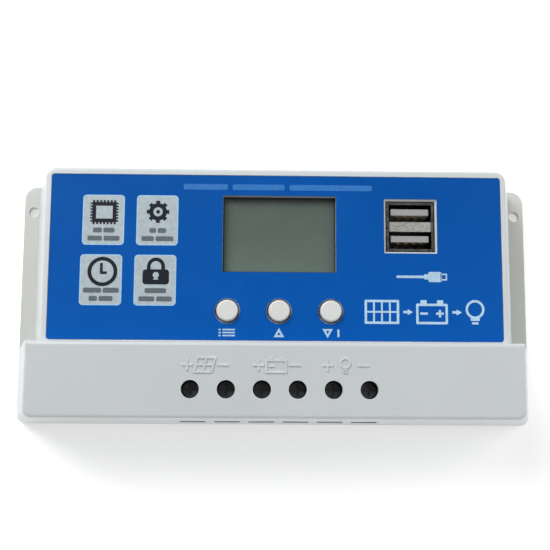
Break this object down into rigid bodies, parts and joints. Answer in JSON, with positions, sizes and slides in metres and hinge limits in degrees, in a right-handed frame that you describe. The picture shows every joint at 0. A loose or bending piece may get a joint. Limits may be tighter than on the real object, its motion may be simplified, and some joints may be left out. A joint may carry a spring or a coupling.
{
  "type": "solar charge controller",
  "caption": "Wall-mounted solar charge controller with a display, push buttons, a double USB outlet and rising-cage screw terminals under a raised lip.",
  "frame": {"origin": "centre of the back face, on the surface it lies on", "axes": "+X to the right across the two ears, +Y towards the upper edge as it hangs on a wall, +Z out of the face"},
  "size_m": [0.158, 0.074, 0.0349],
  "materials": {
    "case_plastic": "fine moulded texture, satin",
    "face_print": "printed polyester film, semi-gloss",
    "gasket_foam": "closed-cell foam",
    "display_glass": "polarised display glass, semi-gloss",
    "light_guide": "milky acrylic",
    "gold_pins": "thin gold plating",
    "board_green": "solder-masked glass laminate",
    "switch_black": "moulded",
    "switch_plunger": "moulded",
    "button_white": "polished, satin",
    "usb_steel": "nickel-plated spring steel",
    "usb_plastic": "moulded",
    "housing_plastic": "glass-filled nylon",
    "tinned_copper": "tin plating",
    "cage_steel": "zinc plating",
    "screw_steel": "black zinc plating",
    "sink_aluminium": "mill finish",
    "pad_grey": "silicone",
    "chip_black": "epoxy",
    "capacitor_sleeve": "shrink sleeve",
    "ferrite": "sintered",
    "copper_wire": "enamelled copper",
    "shunt_alloy": "bright drawn alloy wire"
  },
  "bodies": {
    "case": {"front_cover": "case_plastic", "rear_base": "case_plastic", "face_film": "face_print", "display_gasket": "gasket_foam", "display_front_glass": "display_glass", "display_rear_glass": "display_glass", "display_backlight": "light_guide", "display_pins": "gold_pins", "usb_contacts": "gold_pins", "link_pins": "gold_pins", "main_board": "board_green", "display_board": "board_green", "switch_bodies": "switch_black", "link_socket": "switch_black", "link_header": "switch_black", "usb_shell": "usb_steel", "usb_insulators": "usb_plastic", "terminal_housing": "housing_plastic", "terminal_bars": "tinned_copper", "transistor_leads": "tinned_copper", "microcontroller_leads": "tinned_copper", "transistor_tabs": "tinned_copper", "case_screws": "screw_steel", "main_board_screws": "screw_steel", "display_board_screws": "screw_steel", "heat_sink_screws": "screw_steel", "transistor_screws": "screw_steel", "heat_sink": "sink_aluminium", "thermal_pads": "pad_grey", "transistor_bodies": "chip_black", "microcontroller": "chip_black", "regulator": "chip_black", "capacitors": "capacitor_sleeve", "coil_core": "ferrite", "coil_winding": "copper_wire", "current_shunt": "shunt_alloy"},
    "menu_key": {"menu_button": "button_white", "menu_plunger": "switch_plunger"},
    "up_key": {"up_button": "button_white", "up_plunger": "switch_plunger"},
    "down_key": {"down_button": "button_white", "down_plunger": "switch_plunger"},
    "screw_1": {"terminal_screw_1": "screw_steel"},
    "cage_1": {"terminal_cage_1": "cage_steel"},
    "screw_2": {"terminal_screw_2": "screw_steel"},
    "cage_2": {"terminal_cage_2": "cage_steel"},
    "screw_3": {"terminal_screw_3": "screw_steel"},
    "cage_3": {"terminal_cage_3": "cage_steel"},
    "screw_4": {"terminal_screw_4": "screw_steel"},
    "cage_4": {"terminal_cage_4": "cage_steel"},
    "screw_5": {"terminal_screw_5": "screw_steel"},
    "cage_5": {"terminal_cage_5": "cage_steel"},
    "screw_6": {"terminal_screw_6": "screw_steel"},
    "cage_6": {"terminal_cage_6": "cage_steel"}
  },
  "joints": [
    {"name": "menu_press", "type": "slide", "parent": "case", "child": "menu_key", "axis": [0, 0, -1], "range_m": [0, 0.0004], "stiffness_N_per_m": 2000, "springref_m": -0.0004},
    {"name": "up_press", "type": "slide", "parent": "case", "child": "up_key", "axis": [0, 0, -1], "range_m": [0, 0.0004], "stiffness_N_per_m": 2000, "springref_m": -0.0004},
    {"name": "down_press", "type": "slide", "parent": "case", "child": "down_key", "axis": [0, 0, -1], "range_m": [0, 0.0004], "stiffness_N_per_m": 2000, "springref_m": -0.0004},
    {"name": "screw_1_turn", "type": "hinge", "parent": "case", "child": "screw_1", "pos_m": [-0.0243, -0.0278, 0.025], "axis": [0, 0, 1], "range_deg": [-2233, 0]},
    {"name": "cage_1_rise", "type": "slide", "parent": "case", "child": "cage_1", "axis": [0, 0, 1], "range_m": [0, 0.00434]},
    {"name": "screw_2_turn", "type": "hinge", "parent": "case", "child": "screw_2", "pos_m": [-0.01414, -0.0278, 0.025], "axis": [0, 0, 1], "range_deg": [-2233, 0]},
    {"name": "cage_2_rise", "type": "slide", "parent": "case", "child": "cage_2", "axis": [0, 0, 1], "range_m": [0, 0.00434]},
    {"name": "screw_3_turn", "type": "hinge", "parent": "case", "child": "screw_3", "pos_m": [-0.00398, -0.0278, 0.025], "axis": [0, 0, 1], "range_deg": [-2233, 0]},
    {"name": "cage_3_rise", "type": "slide", "parent": "case", "child": "cage_3", "axis": [0, 0, 1], "range_m": [0, 0.00434]},
    {"name": "screw_4_turn", "type": "hinge", "parent": "case", "child": "screw_4", "pos_m": [0.00618, -0.0278, 0.025], "axis": [0, 0, 1], "range_deg": [-2233, 0]},
    {"name": "cage_4_rise", "type": "slide", "parent": "case", "child": "cage_4", "axis": [0, 0, 1], "range_m": [0, 0.00434]},
    {"name": "screw_5_turn", "type": "hinge", "parent": "case", "child": "screw_5", "pos_m": [0.01634, -0.0278, 0.025], "axis": [0, 0, 1], "range_deg": [-2233, 0]},
    {"name": "cage_5_rise", "type": "slide", "parent": "case", "child": "cage_5", "axis": [0, 0, 1], "range_m": [0, 0.00434]},
    {"name": "screw_6_turn", "type": "hinge", "parent": "case", "child": "screw_6", "pos_m": [0.0265, -0.0278, 0.025], "axis": [0, 0, 1], "range_deg": [-2233, 0]},
    {"name": "cage_6_rise", "type": "slide", "parent": "case", "child": "cage_6", "axis": [0, 0, 1], "range_m": [0, 0.00434]}
  ],
  "couplings": [
    {"joint": "screw_1_turn", "follows": "cage_1_rise", "rad_per_m": -8976},
    {"joint": "screw_2_turn", "follows": "cage_2_rise", "rad_per_m": -8976},
    {"joint": "screw_3_turn", "follows": "cage_3_rise", "rad_per_m": -8976},
    {"joint": "screw_4_turn", "follows": "cage_4_rise", "rad_per_m": -8976},
    {"joint": "screw_5_turn", "follows": "cage_5_rise", "rad_per_m": -8976},
    {"joint": "screw_6_turn", "follows": "cage_6_rise", "rad_per_m": -8976}
  ]
}
